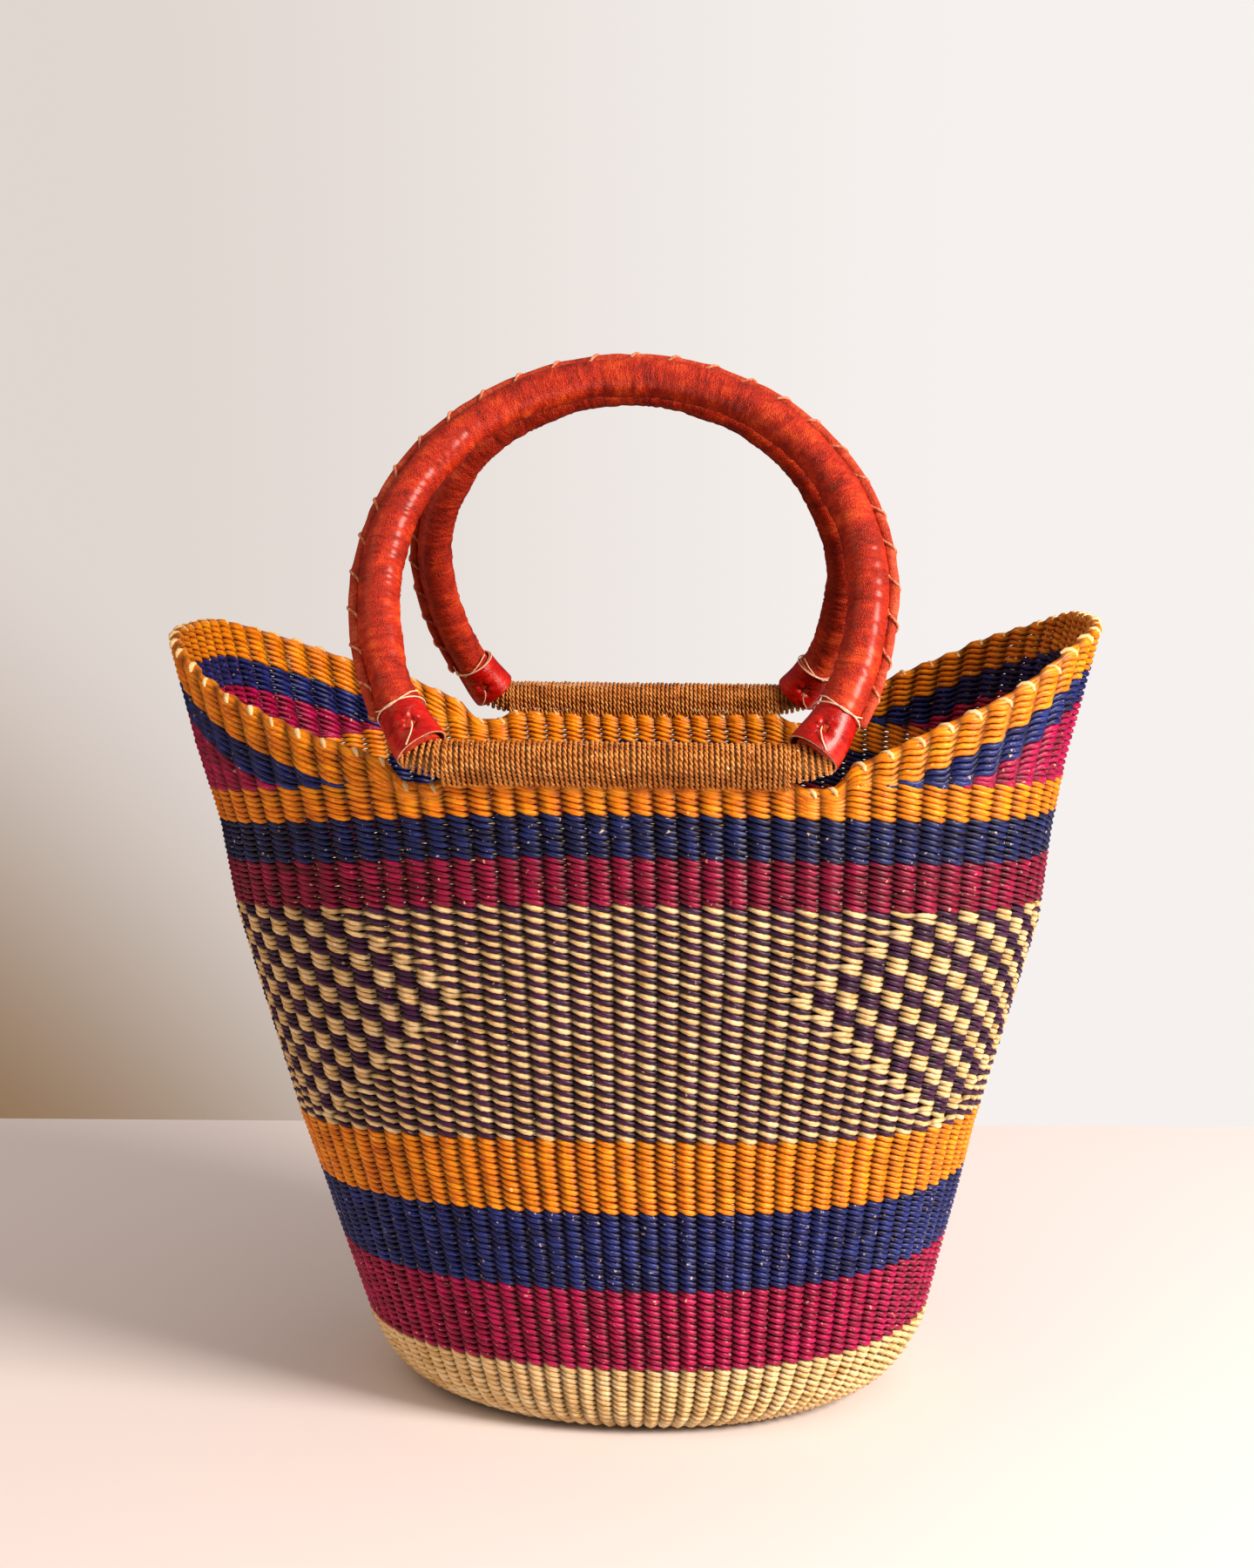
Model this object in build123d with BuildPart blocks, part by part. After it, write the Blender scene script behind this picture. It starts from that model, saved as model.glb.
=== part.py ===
# Woven market basket: an oval tub of twined elephant grass with two raised ends,
# and two leather-covered hoop handles whose bars are lashed to the rim.
# Frame: origin on the floor under the middle, +Z up, X along the length, -Y the front.
# Millimetres throughout.
import os
from math import cos, degrees, pi, radians, sin, sqrt

from build123d import *

# ---- Overall sizes of the tub, measured over the brim ring that the wings stop just short of
length = 453.0
depth = 298.0
height = 390.0

# ---- Wall: rings of the outer surface, each with its share of the height, of the length and
# of the depth, and its squareness (the exponent of its superellipse, 2 being a plain ellipse)
foot_ring = (0.0000, 0.4636, 0.5772, 2.10)
heel_ring = (0.0179, 0.5453, 0.6443, 2.15)
ankle_ring = (0.0462, 0.5916, 0.6698, 2.20)
shoulder_ring = (0.0923, 0.6313, 0.6879, 2.25)
waist_ring = (0.3590, 0.7528, 0.7785, 2.50)
chest_ring = (0.6282, 0.8759, 0.8758, 2.75)
neck_ring = (0.7436, 0.8998, 0.9161, 2.85)
brim_ring = (1.0000, 1.0000, 1.0000, 3.00)
wall = 7.0
base_thickness = 7.0
ring_points = 32
# The wall lies over near the foot, so its level section is thicker there
heel_slant = 1.6
ankle_slant = 1.15

# ---- Courses of weft: the top edge of each colour at the front and at the ends,
# as shares of the height
foot_top = (0.0923, 0.0987)
lower_magenta_top = (0.1974, 0.2051)
lower_navy_top = (0.2974, 0.2949)
lower_orange_top = (0.3897, 0.3744)
pattern_top = (0.6795, 0.6462)
upper_magenta_top = (0.7359, 0.7038)
upper_navy_top = (0.7859, 0.7551)
upper_orange_top = (0.8282, 0.7949)

# ---- Rim: level under the handle bars, then rising to the tips of both wings
bar_share = 0.8487
tip_share = 0.9782
rim_past_cap = 3.0
wing_root_run = 12.0
border_height = 4.0
rim_band_height = 14.5
wing_navy_height = 15.0

# ---- Stakes, the upright stems that the weft is twined round
stake_count = 96
stake_radius = 1.3
# Where a stake runs in the wall, as a share of its thickness from the outside
stake_depth = 0.5
stake_foot_depth = 0.8
# The share of its shorter run that a bend may take up, and the least turn that counts as one
bend_share = 0.45
least_turn = 0.01

# ---- Handles
hoop_radius = 110.0
leg_radius = 144.0
leg_turn = 34.0
leg_end_height = 4.5
handle_lean = 30.0
tube_radius = 9.75
leather_thickness = 1.3
cap_thickness = 1.2
cap_length = 21.0
rod_radius = 6.5
bar_overhang = 1.0
twine_build = 2.35
welt_radius = 1.7
lacing_pitch = 16.0
lacing_radius = 0.4
hook_turn = 160.0
tie_radius = 0.35
# How far up a cap the thread is tied, as a share of its length
tie_place = 0.85
# How far short of the cap the seam stops, in degrees of leg
seam_gap = 1.0
web_thickness = 4.6

# ---- Clearances
slip = 0.05
running_clearance = 0.06
end_gap = 0.5
swing_clearance = 0.5

# ---- Worked out from the sizes above
def ring_in_mm(ring):
    """A ring's height, half length and half depth in millimetres, and its squareness."""
    return ring[0] * height, ring[1] * length / 2, ring[2] * depth / 2, ring[3]


foot_ring, heel_ring, ankle_ring = (ring_in_mm(ring) for ring in (foot_ring, heel_ring, ankle_ring))
upper_rings = [ring_in_mm(ring) for ring in (shoulder_ring, waist_ring, chest_ring, neck_ring, brim_ring)]
rings = [foot_ring, heel_ring, ankle_ring, *upper_rings]
bar_height = bar_share * height
tip_height = tip_share * height
wing_root_height = bar_height
# Cutting windows run well past the tub
beyond = 1.2
reach = beyond * length / 2
depth_reach = beyond * depth / 2
cap_radius = tube_radius + slip + cap_thickness
lashing_radius = rod_radius + twine_build
leg_rise = leg_radius * sin(radians(leg_turn))
hoop_centre_height = leg_end_height + leg_rise
leg_end_x = hoop_radius - leg_radius * (1 - cos(radians(leg_turn)))
cap_inner_x = leg_end_x - cap_radius * cos(radians(leg_turn))
cap_outer_x = leg_end_x + cap_radius * cos(radians(leg_turn))
core_radius = tube_radius - leather_thickness - slip
# The farthest that a cap's cut edge reaches from the bar's axis
cap_sweep = sqrt(cap_radius**2 + leg_end_height**2)
rim_flat_height = bar_height - cap_sweep - swing_clearance
rim_flat_x = cap_outer_x + rim_past_cap
wing_root_x = rim_flat_x + wing_root_run
lashing_half = cap_inner_x - end_gap / 2


def ring_at(height):
    """Half length, half depth and squareness of the outer surface at one height."""
    for low, high in zip(rings, rings[1:]):
        if height <= high[0] or high is rings[-1]:
            share = (height - low[0]) / (high[0] - low[0])
            return [a + (b - a) * share for a, b in zip(low[1:], high[1:])]


def ring_point(half_length, half_depth, squareness, angle):
    """A point of a superellipse in the direction of one angle."""
    c, s = cos(angle), sin(angle)
    r = (abs(c) ** squareness + abs(s) ** squareness) ** (-1 / squareness)
    return half_length * r * c, half_depth * r * s


def ring_outline(half_length, half_depth, squareness):
    """Points round a superellipse."""
    step = 2 * pi / ring_points
    return [ring_point(half_length, half_depth, squareness, step * i) for i in range(ring_points)]


def rim_line(drop):
    """Points along the rim in side view from end to end, lowered by drop."""
    tip_x = ring_at(tip_height)[0]
    slope = (tip_height - wing_root_height) / (tip_x - wing_root_x)
    far = (reach, wing_root_height + slope * (reach - wing_root_x))
    half = [(rim_flat_x, rim_flat_height), (wing_root_x, wing_root_height), far]
    line = [(-x, z) for x, z in reversed(half)] + half
    return [(x, z - drop) for x, z in line]


def rim_height(x):
    """Height of the rim at one distance from the middle."""
    points = rim_line(0)[3:]
    if abs(x) <= points[0][0]:
        return points[0][1]
    for (x0, z0), (x1, z1) in zip(points, points[1:]):
        if abs(x) <= x1:
            return z0 + (z1 - z0) * (abs(x) - x0) / (x1 - x0)


def course_end(edge):
    """Height of a course edge at the far reach, from its front and end heights."""
    front, end = edge[0] * height, edge[1] * height
    half_length = ring_at(end)[0]
    return front - (front - end) * (reach / half_length) ** 2


bar_y = ring_at(rim_flat_height)[1] + bar_overhang


def save(part, name):
    """Labels one finished piece and writes its STEP file."""
    part.label = name
    export_step(part, f"parts/{name}.step")


os.makedirs("parts", exist_ok=True)

# ---- The tub before it is divided: outer form less the hollow
with BuildPart() as outer_form:
    for ring in rings:
        with BuildSketch(Plane.XY.offset(ring[0])):
            with BuildLine():
                Spline(*ring_outline(*ring[1:]), periodic=True)
            make_face()
    loft(ruled=True)

with BuildPart() as hollow:
    hollow_rings = [(base_thickness, heel_ring, heel_slant), (ankle_ring[0], ankle_ring, ankle_slant)]
    hollow_rings += [(ring[0], ring, 1) for ring in upper_rings[:-1]]
    # The last one stands above the brim, so that the hollow is open at the top
    hollow_rings += [(upper_rings[-1][0] + wall, upper_rings[-1], 1)]
    for level, ring, slant in hollow_rings:
        inset = wall * slant
        with BuildSketch(Plane.XY.offset(level)):
            with BuildLine():
                Spline(*ring_outline(ring[1] - inset, ring[2] - inset, ring[3]), periodic=True)
            make_face()
    loft(ruled=True)

with BuildPart() as tub:
    add(outer_form.part)
    add(hollow.part, mode=Mode.SUBTRACT)


def course_edge(edge):
    """A course edge seen from the front: a wide shallow arc that sags to both ends."""
    low = course_end(edge)
    return [(-reach, low), (0, edge[0] * height), (reach, low)]


def keep_between(below, above):
    """Keeps what lies between two edges seen from the front, each an arc of three points or a rim line."""
    with BuildSketch(Plane.XZ) as window:
        with BuildLine():
            for edge in (below, above):
                if len(edge) == 3:
                    ThreePointArc(*edge)
                else:
                    Polyline(*edge)
            Line(below[0], above[0])
            Line(below[-1], above[-1])
        make_face()
    extrude(window.sketch, amount=depth_reach, both=True, mode=Mode.INTERSECT)


base_line = [(-reach, base_thickness), (reach, base_thickness)]
under_line = [(-reach, -wall), (reach, -wall)]

with BuildPart() as base:
    add(tub.part)
    keep_between(under_line, base_line)
save(base.part, "base")

courses = [
    ("foot_band", base_line, course_edge(foot_top)),
    ("lower_magenta_band", course_edge(foot_top), course_edge(lower_magenta_top)),
    ("lower_navy_band", course_edge(lower_magenta_top), course_edge(lower_navy_top)),
    ("lower_orange_band", course_edge(lower_navy_top), course_edge(lower_orange_top)),
    ("patterned_band", course_edge(lower_orange_top), course_edge(pattern_top)),
    ("upper_magenta_band", course_edge(pattern_top), course_edge(upper_magenta_top)),
    ("upper_navy_band", course_edge(upper_magenta_top), course_edge(upper_navy_top)),
]
for name, below, above in courses:
    with BuildPart() as band:
        add(tub.part)
        keep_between(below, above)
    save(band.part, name)

# ---- The top: a level band, the wings above it and the border along the rim
sky_height = 2 * tip_height
sky = [(-reach, sky_height), (reach, sky_height)]
with BuildPart() as upper_orange_band:
    add(tub.part)
    keep_between(course_edge(upper_navy_top), course_edge(upper_orange_top))
    keep_between(under_line, rim_line(border_height))
save(upper_orange_band.part, "upper_orange_band")

with BuildPart() as rim_border:
    add(tub.part)
    keep_between(rim_line(border_height), rim_line(0))
save(rim_border.part, "rim_border")

orange_drop = border_height + rim_band_height
navy_drop = orange_drop + wing_navy_height
wing_strips = [
    ("rim_band", rim_line(orange_drop), rim_line(border_height)),
    ("wing_navy", rim_line(navy_drop), rim_line(orange_drop)),
    ("wing_magenta", under_line, rim_line(navy_drop)),
]
for side, sign in (("left", -1), ("right", 1)):
    for name, below, above in wing_strips:
        with BuildPart() as strip:
            add(tub.part)
            keep_between(course_edge(upper_orange_top), sky)
            keep_between(below, above)
            # Only the wing at this end
            with BuildSketch(Plane.YZ.offset(sign * rim_flat_x)):
                Rectangle(2 * depth_reach, 2 * sky_height)
            extrude(amount=sign * reach, mode=Mode.INTERSECT)
        save(strip.part, f"{side}_{name}")


# ---- Stakes: straight runs up the middle of the wall with an easy bend at each ring
def stake_route(angle):
    """Points up the middle of the wall in one direction, from the heel to the border."""
    bends = [(base_thickness + stake_radius, stake_foot_depth), (ankle_ring[0], stake_depth)]
    bends += [(ring[0], stake_depth) for ring in upper_rings]
    route = []
    for level, share in bends:
        half_length, half_depth, squareness = ring_at(level)
        x, y = ring_point(half_length - wall * share, half_depth - wall * share, squareness, angle)
        top = rim_height(x) - border_height - stake_radius
        if level >= top - wall:
            break
        route.append((x, y, level))
    half_length, half_depth, squareness = ring_at(top)
    inset = wall * stake_depth
    x, y = ring_point(half_length - inset, half_depth - inset, squareness, angle)
    route.append((x, y, rim_height(x) - border_height - stake_radius))
    return route


def easy_radii(route):
    """The largest radius that each corner's two runs leave room for, kept below a gentle limit."""
    points = [Vector(*point) for point in route]
    radii = []
    for before, here, after in zip(points, points[1:], points[2:]):
        turn = radians((here - before).get_angle(after - here))
        shorter = min((here - before).length, (after - here).length)
        radii.append(bend_share * shorter / max(sin(turn / 2), least_turn))
    return radii


stake_solids = []
for i in range(stake_count):
    route = stake_route(2 * pi * (i + 0.5) / stake_count)
    with BuildPart() as stake:
        with BuildLine() as stake_line:
            FilletPolyline(*route, radius=easy_radii(route))
        with BuildSketch(Plane(origin=stake_line.line @ 0, z_dir=stake_line.line % 0)):
            Circle(stake_radius)
        sweep()
    stake_solids.append(stake.part.solid())
save(Compound(children=stake_solids), "stakes")

# ---- Handles
welt_path_offset = tube_radius + welt_radius + slip
leg_centre_x = hoop_radius - leg_radius
cap_turn = degrees(cap_length / leg_radius)


def hoop_line(outset, start_turn):
    """Centre line of the hoop moved outwards, stopping some degrees of leg short of each end."""
    turn = leg_turn - start_turn
    CenterArc((leg_centre_x, hoop_centre_height), leg_radius + outset, -turn, turn)
    CenterArc((0, hoop_centre_height), hoop_radius + outset, 0, 180)
    CenterArc((-leg_centre_x, hoop_centre_height), leg_radius + outset, 180, turn)


def mitre(plane, sign):
    """Removes what lies beyond the cut end of one leg from the piece in hand."""
    angle = radians(leg_turn)
    along = plane.x_dir * (sign * sin(angle)) + plane.y_dir * cos(angle)
    corner = plane.from_local_coords((sign * leg_end_x, leg_end_height, 0))
    with BuildSketch(Plane(origin=corner, z_dir=along)) as past_cut:
        Rectangle(2 * cap_length, 2 * cap_length)
    extrude(past_cut.sketch, amount=cap_length, mode=Mode.SUBTRACT)


def bar_piece(plane, outer, inner, start, end):
    """A round or hollow piece along the bar's axis between two distances from the middle."""
    with BuildSketch(Plane(origin=plane.origin + Vector(start, 0, 0), z_dir=(1, 0, 0))) as section:
        Circle(outer)
        if inner:
            Circle(inner, mode=Mode.SUBTRACT)
    extrude(section.sketch, amount=end - start)


def make_handle(name, side):
    """All the pieces of one handle and its lashing; side is -1 at the front and 1 at the rear."""
    lean = radians(handle_lean)
    across = (0, -cos(lean), -side * sin(lean))
    plane = Plane(origin=(0, side * bar_y, bar_height), x_dir=(1, 0, 0), z_dir=across)

    with BuildPart() as core:
        with BuildLine(plane) as line:
            hoop_line(0, 0)
        with BuildSketch(Plane(origin=line.line @ 0, z_dir=line.line % 0)):
            Circle(core_radius)
        sweep()
    save(core.part, f"{name}_hoop_core")

    with BuildPart() as leather:
        with BuildLine(plane) as line:
            hoop_line(0, 0)
        with BuildSketch(Plane(origin=line.line @ 0, z_dir=line.line % 0)):
            Circle(tube_radius)
            Circle(core_radius + slip, mode=Mode.SUBTRACT)
        sweep()
    save(leather.part, f"{name}_leather")

    with BuildPart() as welt:
        with BuildLine(plane) as line:
            hoop_line(welt_path_offset, cap_turn + seam_gap)
        with BuildSketch(Plane(origin=line.line @ 0, z_dir=line.line % 0)):
            Circle(welt_radius)
        sweep()
    save(welt.part, f"{name}_welt")

    # Thong over the seam: small hooks that lie round the outer side of the welt
    seam = line.wire()
    stitch_count = int(seam.length / lacing_pitch)
    hook_radius = welt_radius + slip + lacing_radius
    hooks = []
    for i in range(stitch_count):
        share = (i + 0.5) / stitch_count
        along = seam % share
        outward = along.cross(plane.z_dir)
        with BuildPart() as hook:
            with BuildLine(Plane(origin=seam @ share, x_dir=outward, z_dir=along)) as bend:
                CenterArc((0, 0), hook_radius, -hook_turn / 2, hook_turn)
            with BuildSketch(Plane(origin=bend.line @ 0, z_dir=bend.line % 0)):
                Circle(lacing_radius)
            sweep()
        hooks.append(hook.part.solid())
    save(Compound(children=hooks), f"{name}_lacing")

    ties = []
    for hand, sign in (("left", -1), ("right", 1)):
        with BuildPart() as cap:
            with BuildLine(plane) as line:
                start = -leg_turn if sign > 0 else 180 + leg_turn
                CenterArc((sign * leg_centre_x, hoop_centre_height), leg_radius, start, sign * cap_turn)
            with BuildSketch(Plane(origin=line.line @ 0, z_dir=line.line % 0)):
                Circle(cap_radius)
                Circle(tube_radius + slip, mode=Mode.SUBTRACT)
            sweep()
        save(cap.part, f"{name}_{hand}_cap")

        # Waxed thread tied round the upper edge of the cap
        around = Plane(origin=line.line @ tie_place, z_dir=line.line % tie_place)
        with BuildPart() as tie:
            with BuildLine(around) as loop:
                CenterArc((0, 0), cap_radius + tie_radius + slip, 0, 360)
            with BuildSketch(Plane(origin=loop.line @ 0, z_dir=loop.line % 0)):
                Circle(tie_radius)
            sweep()
        ties.append(tie.part.solid())
    save(Compound(children=ties), f"{name}_cap_ties")

    with BuildPart() as bar:
        bar_piece(plane, rod_radius, 0, -cap_outer_x + slip, cap_outer_x - slip)
        mitre(plane, 1)
        mitre(plane, -1)
    save(bar.part, f"{name}_bar")

    # The last turns of twine hold to the cap, so they turn with the handle
    turns = []
    for sign in (-1, 1):
        with BuildPart() as end_turns:
            inner_end = sign * (lashing_half + end_gap)
            outer_end = sign * (cap_outer_x - slip)
            low, high = min(inner_end, outer_end), max(inner_end, outer_end)
            bar_piece(plane, lashing_radius, rod_radius + slip, low, high)
            mitre(plane, sign)
        turns.append(end_turns.part.solid())
    save(Compound(children=turns), f"{name}_end_turns")

    # Lashing: a sleeve of twine round the bar, sewn down to the rim
    with BuildPart() as lashing:
        bar_piece(plane, lashing_radius, 0, -lashing_half, lashing_half)
        wall_y = side * (ring_at(rim_flat_height)[1] - wall / 2)
        with BuildSketch(Plane.XY.offset(rim_flat_height)):
            with Locations((0, wall_y)):
                Rectangle(2 * lashing_half, web_thickness)
        extrude(amount=bar_height - rim_flat_height)
        with BuildSketch(Plane(origin=plane.origin - Vector(lashing_half, 0, 0), z_dir=(1, 0, 0))):
            Circle(rod_radius + running_clearance)
        extrude(amount=2 * lashing_half, mode=Mode.SUBTRACT)
    save(lashing.part, f"{name}_lashing")


make_handle("front", -1)
make_handle("rear", 1)
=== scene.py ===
import math
import random

import bmesh
import bpy
import numpy as np
from mathutils import Matrix, Vector


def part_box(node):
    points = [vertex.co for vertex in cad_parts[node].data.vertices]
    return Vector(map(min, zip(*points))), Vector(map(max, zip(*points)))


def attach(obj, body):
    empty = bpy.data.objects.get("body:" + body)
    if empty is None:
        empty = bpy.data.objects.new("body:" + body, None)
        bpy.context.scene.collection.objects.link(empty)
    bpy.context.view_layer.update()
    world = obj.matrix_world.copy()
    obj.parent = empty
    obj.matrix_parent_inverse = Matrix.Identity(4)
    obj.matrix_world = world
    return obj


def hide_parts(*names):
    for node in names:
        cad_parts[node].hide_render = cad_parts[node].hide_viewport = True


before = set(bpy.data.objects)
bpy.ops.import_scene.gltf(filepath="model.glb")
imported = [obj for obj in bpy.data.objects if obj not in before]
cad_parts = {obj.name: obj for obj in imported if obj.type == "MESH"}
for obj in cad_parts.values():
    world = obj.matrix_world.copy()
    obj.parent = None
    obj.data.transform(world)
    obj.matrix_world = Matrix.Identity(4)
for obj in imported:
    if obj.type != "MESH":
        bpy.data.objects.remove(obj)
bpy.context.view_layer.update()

mm = 0.001
print("frame loaded")

def placeObject(name, data):
    item = bpy.data.objects.new(name, data)
    bpy.context.scene.collection.objects.link(item)
    return item


# camera: stands in front and a little to the right, looking slightly down
cameraPlace = {
    "x": 53.5, "y": -1079.4, "height": 451.0,   # mm
    "heading": 0.0518, "pitch": 0.1375, "roll": 0.0073,   # radians
    "lens": 50.0, "sensor": 36.0,
}


def makeCamera(place):
    data = bpy.data.cameras.new("studioCamera")
    data.lens = place["lens"]
    data.sensor_width = place["sensor"]
    camera = placeObject("studioCamera", data)
    heading, pitch, roll = place["heading"], place["pitch"], place["roll"]
    forward = Vector((-math.sin(heading), math.cos(heading), 0))
    ahead = forward * math.cos(pitch) - Vector((0, 0, math.sin(pitch)))
    level = Vector((math.cos(heading), math.sin(heading), 0))
    up = level.cross(ahead)
    right = level * math.cos(roll) + up * math.sin(roll)
    top = up * math.cos(roll) - level * math.sin(roll)
    spin = Matrix((right, top, -ahead)).transposed().to_4x4()
    camera.matrix_world = Matrix.Translation((place["x"] * mm, place["y"] * mm, place["height"] * mm)) @ spin
    bpy.context.scene.camera = camera


makeCamera(cameraPlace)


# materials
def linear(code):
    # sRGB hex to linear colour
    parts = [int(code[i:i + 2], 16) / 255 for i in (0, 2, 4)]
    return tuple(c / 12.92 if c <= 0.04045 else ((c + 0.055) / 1.055) ** 2.4 for c in parts) + (1.0,)


def addNode(tree, kind, settings=None, links=None):
    node = tree.nodes.new(kind)
    for key, value in (settings or {}).items():
        if isinstance(key, str) and hasattr(node, key):
            setattr(node, key, value)
        else:
            node.inputs[key].default_value = value
    for socket, source in (links or {}).items():
        tree.links.new(source, node.inputs[socket])
    return node


def fillRamp(node, stops):
    elements = node.color_ramp.elements
    while len(elements) < len(stops):
        elements.new(0.5)
    for element, (place, colour) in zip(elements, stops):
        element.position = place
        element.color = colour


def newMaterial(name, roughness, specular, coat=0.0, coatRoughness=0.3):
    material = bpy.data.materials.new(name)
    material.use_nodes = True
    tree = material.node_tree
    tree.nodes.clear()
    shader = addNode(tree, "ShaderNodeBsdfPrincipled", {
        "Roughness": roughness, "Specular IOR Level": specular, "IOR": 1.5,
        "Coat Weight": coat, "Coat Roughness": coatRoughness,
    })
    addNode(tree, "ShaderNodeOutputMaterial", {}, {"Surface": shader.outputs["BSDF"]})
    return material, tree, shader


def finishSurface(tree, shader, colour, height, strength, depth):
    bump = addNode(tree, "ShaderNodeBump", {"Strength": strength, "Distance": depth * mm}, {"Height": height})
    tree.links.new(colour, shader.inputs["Base Color"])
    tree.links.new(bump.outputs["Normal"], shader.inputs["Normal"])


def grassMaterial(name, dark, middle, light, fleck, fleckShare, roughness=0.4):
    # Elephant grass, split, twisted by hand and dyed in a pot: the dye takes unevenly, so
    # strands differ, fine fibres run along each one, and undyed pith shows as pale flecks.
    material, tree, shader = newMaterial(name, roughness, specular=0.3)
    coords = addNode(tree, "ShaderNodeTexCoord")
    fibre = addNode(tree, "ShaderNodeMapping", {"Scale": (260, 11, 1), "Rotation": (0, 0, 0.012)},
                    {"Vector": coords.outputs["UV"]})   # fibres about 0.8 mm wide and 4 mm long
    streaks = addNode(tree, "ShaderNodeTexNoise", {"Scale": 1.0, "Detail": 3.0, "Roughness": 0.6},
                      {"Vector": fibre.outputs["Vector"]})
    # patches 3 mm high, one course, and 17 mm long
    patch = addNode(tree, "ShaderNodeMapping", {"Scale": (60, 60, 330)}, {"Vector": coords.outputs["Object"]})
    dye = addNode(tree, "ShaderNodeTexNoise", {"Scale": 1.0, "Detail": 2.0, "Roughness": 0.5},
                  {"Vector": patch.outputs["Vector"]})
    mixed = addNode(tree, "ShaderNodeMix", {"data_type": "FLOAT", "Factor": 0.45},
                    {"A": streaks.outputs["Fac"], "B": dye.outputs["Fac"]})
    ramp = addNode(tree, "ShaderNodeValToRGB", {}, {"Fac": mixed.outputs["Result"]})
    fillRamp(ramp, [(0.33, linear(dark)), (0.5, linear(middle)), (0.68, linear(light))])
    spots = addNode(tree, "ShaderNodeTexNoise", {"Scale": 420.0, "Detail": 2.0, "Roughness": 0.55},
                    {"Vector": coords.outputs["Object"]})   # flecks about 2 mm across
    edge = 0.73 - fleckShare
    pick = addNode(tree, "ShaderNodeMapRange", {"From Min": edge, "From Max": edge + 0.03},
                   {"Value": spots.outputs["Fac"]})
    colour = addNode(tree, "ShaderNodeMix", {"data_type": "RGBA", "B": linear(fleck)},
                     {"Factor": pick.outputs["Result"], "A": ramp.outputs["Color"]})
    # painted shade: the colour is darkened in the crevices between strands, and lifted a little on their
    # crowns as painted light
    paintedShade = addNode(tree, "ShaderNodeAttribute", {"attribute_name": "paintedShade"})
    depth = addNode(tree, "ShaderNodeMapRange", {"To Min": 0.2, "To Max": 1.1},
                    {"Value": paintedShade.outputs["Fac"]})
    shaded = addNode(tree, "ShaderNodeVectorMath", {"operation": "SCALE"},
                     {0: colour.outputs["Result"], "Scale": depth.outputs["Result"]})
    finishSurface(tree, shader, shaded.outputs["Vector"], streaks.outputs["Fac"], 0.55, 0.35)
    return material


grassLooks = {
    "natural": ("B8883E", "F0C88A", "FCE8BC", "FCECCC", 0.02),
    "magenta": ("58001C", "A60042", "DA0A68", "DDAA88", 0.045),
    "deepMagenta": ("3C000E", "860030", "BC0854", "DDAA88", 0.045),
    "deepNavy": ("04071E", "10164A", "283884", "C9B090", 0.05),
    "navy": ("060A30", "161E62", "304298", "C9B090", 0.05),
    "orange": ("C05400", "FA8C00", "FFB414", "F6D08A", 0.03),
    "purple": ("1C0420", "380C34", "5C2450", "A88070", 0.03),
}
grass = {name: grassMaterial(name + "TwinedGrass", *look) for name, look in grassLooks.items()}
twineMaterial = grassMaterial("twoPlyGrassTwine", "6A3008", "C8782C", "F0B468", "F0CC96", 0.04, 0.42)


def leatherMaterial(name, dark, middle, light, roughness, coat, wrinkle):
    # Goat leather, vegetable tanned and stained red, shrunk wet over the hoop: creases run
    # across it, the grain is pebbled, and handling has polished and paled the high spots.
    material, tree, shader = newMaterial(name, roughness, specular=0.2, coat=coat, coatRoughness=0.27)
    place = addNode(tree, "ShaderNodeAttribute", {"attribute_name": "tubePlace"})
    # creases about 2.5 mm apart
    across = addNode(tree, "ShaderNodeMapping", {"Scale": (400, 120, 120)},
                     {"Vector": place.outputs["Vector"]})
    creases = addNode(tree, "ShaderNodeTexNoise",
                      {"Scale": 1.0, "Detail": 5.0, "Roughness": 0.62, "Distortion": 1.2},
                      {"Vector": across.outputs["Vector"]})
    grain = addNode(tree, "ShaderNodeTexVoronoi", {"Scale": 1500.0, "feature": "F1"},
                    {"Vector": place.outputs["Vector"]})   # pebbles about 0.7 mm, as coarse as shows
    stain = addNode(tree, "ShaderNodeTexNoise", {"Scale": 70.0, "Detail": 5.0, "Roughness": 0.62},
                    {"Vector": place.outputs["Vector"]})
    mixed = addNode(tree, "ShaderNodeMix", {"data_type": "FLOAT", "Factor": 0.4},
                    {"A": stain.outputs["Fac"], "B": creases.outputs["Fac"]})
    ramp = addNode(tree, "ShaderNodeValToRGB", {}, {"Fac": mixed.outputs["Result"]})
    fillRamp(ramp, [(0.34, linear(dark)), (0.52, linear(middle)), (0.7, linear(light))])
    height = addNode(tree, "ShaderNodeMix", {"data_type": "FLOAT", "Factor": 0.3},
                     {"A": creases.outputs["Fac"], "B": grain.outputs["Distance"]})
    gloss = addNode(tree, "ShaderNodeMapRange", {"From Min": 0.3, "From Max": 0.7,
                    "To Min": roughness - 0.1, "To Max": roughness + 0.15}, {"Value": creases.outputs["Fac"]})
    # painted shade: the sewn-in hole of a cap is painted dark inside
    pit = addNode(tree, "ShaderNodeAttribute", {"attribute_name": "pitShade"})
    colour = addNode(tree, "ShaderNodeMix", {"data_type": "RGBA", "B": linear("120302")},
                     {"Factor": pit.outputs["Fac"], "A": ramp.outputs["Color"]})
    tree.links.new(gloss.outputs["Result"], shader.inputs["Roughness"])
    finishSurface(tree, shader, colour.outputs["Result"], height.outputs["Result"], wrinkle, 1.6)
    return material


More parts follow.
